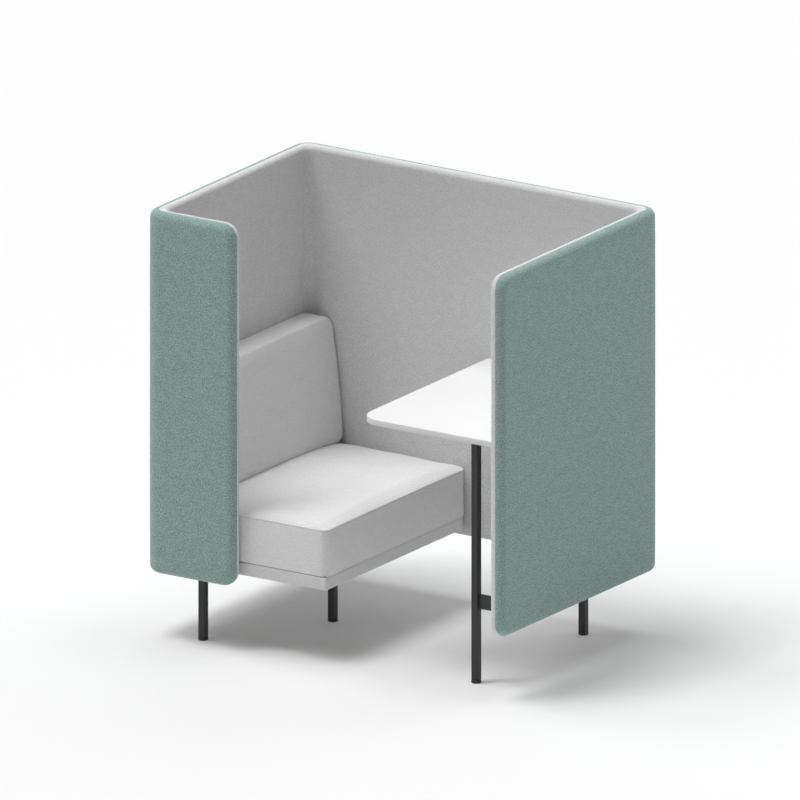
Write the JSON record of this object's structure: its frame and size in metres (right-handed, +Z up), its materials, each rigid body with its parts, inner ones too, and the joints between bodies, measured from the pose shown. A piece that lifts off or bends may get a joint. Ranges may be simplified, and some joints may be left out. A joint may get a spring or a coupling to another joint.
{
  "type": "office booth",
  "caption": "Work booth with a padded wrap-around screen, a boxed seat with wedge backrest and a small fixed table, standing on square legs with levelling feet.",
  "frame": {"origin": "on the floor under the middle of the booth's footprint", "axes": "+Z up, +Y to the back wall, +X from the seat side to the table side"},
  "size_m": [1.254, 0.858, 1.3],
  "materials": {
    "outer_fabric": "sage green woven melange over foam",
    "inner_fabric": "light grey heather weave over foam",
    "seat_fabric": "light grey heather weave over foam",
    "core_board": "raw board",
    "timber": "planed timber",
    "plywood": "sanded plywood",
    "laminate": "white laminate on board, fine matt texture",
    "black_steel": "black powder coat",
    "black_plastic": "black moulded plastic"
  },
  "bodies": {
    "booth": {"backrest_board": "plywood", "backrest_board_cleat": "timber", "backrest_cushion": "seat_fabric", "backrest_wall_cleat": "timber", "core_board_back": "core_board", "core_board_left": "core_board", "core_board_right": "core_board", "core_board_wing": "core_board", "corner_post_front_left": "core_board", "corner_post_rear_left": "core_board", "corner_post_rear_right": "core_board", "inner_corner_front_left": "inner_fabric", "inner_corner_rear_left": "inner_fabric", "inner_corner_rear_right": "inner_fabric", "inner_pad_back": "inner_fabric", "inner_pad_left": "inner_fabric", "inner_pad_right": "inner_fabric", "inner_pad_wing": "inner_fabric", "leg_bracket_front": "black_steel", "leg_bracket_rear": "black_steel", "leg_insert_seat_front": "black_plastic", "leg_insert_seat_middle": "black_plastic", "leg_insert_seat_rear": "black_plastic", "leg_insert_table_front": "black_plastic", "leg_insert_table_rear": "black_plastic", "leg_plate_seat_front": "black_steel", "leg_plate_seat_middle": "black_steel", "leg_plate_seat_rear": "black_steel", "leg_plate_table_front": "black_steel", "leg_plate_table_rear": "black_steel", "leg_tube_seat_front": "black_steel", "leg_tube_seat_middle": "black_steel", "leg_tube_seat_rear": "black_steel", "leg_tube_table_front": "black_steel", "leg_tube_table_rear": "black_steel", "outer_corner_front_left": "outer_fabric", "outer_corner_rear_left": "outer_fabric", "outer_corner_rear_right": "outer_fabric", "outer_pad_back": "outer_fabric", "outer_pad_left": "outer_fabric", "outer_pad_right": "outer_fabric", "outer_pad_wing": "outer_fabric", "seat_base_cover": "seat_fabric", "seat_cushion": "seat_fabric", "seat_deck": "plywood", "seat_rail_front": "timber", "seat_rail_left": "timber", "seat_rail_middle": "timber", "seat_rail_rear": "timber", "seat_rail_right": "timber", "table_back_angle": "black_steel", "table_side_angle": "black_steel", "table_top": "laminate"},
    "glide_seat_front": {"glide_seat_front": "black_plastic"},
    "glide_seat_rear": {"glide_seat_rear": "black_plastic"},
    "glide_seat_middle": {"glide_seat_middle": "black_plastic"},
    "glide_table_front": {"glide_table_front": "black_plastic"},
    "glide_table_rear": {"glide_table_rear": "black_plastic"}
  },
  "joints": [
    {"name": "glide_seat_front_travel", "type": "slide", "parent": "booth", "child": "glide_seat_front", "axis": [0, 0, -1], "range_m": [0, 0.012]},
    {"name": "glide_seat_rear_travel", "type": "slide", "parent": "booth", "child": "glide_seat_rear", "axis": [0, 0, -1], "range_m": [0, 0.012]},
    {"name": "glide_seat_middle_travel", "type": "slide", "parent": "booth", "child": "glide_seat_middle", "axis": [0, 0, -1], "range_m": [0, 0.012]},
    {"name": "glide_table_front_travel", "type": "slide", "parent": "booth", "child": "glide_table_front", "axis": [0, 0, -1], "range_m": [0, 0.012]},
    {"name": "glide_table_rear_travel", "type": "slide", "parent": "booth", "child": "glide_table_rear", "axis": [0, 0, -1], "range_m": [0, 0.012]}
  ]
}
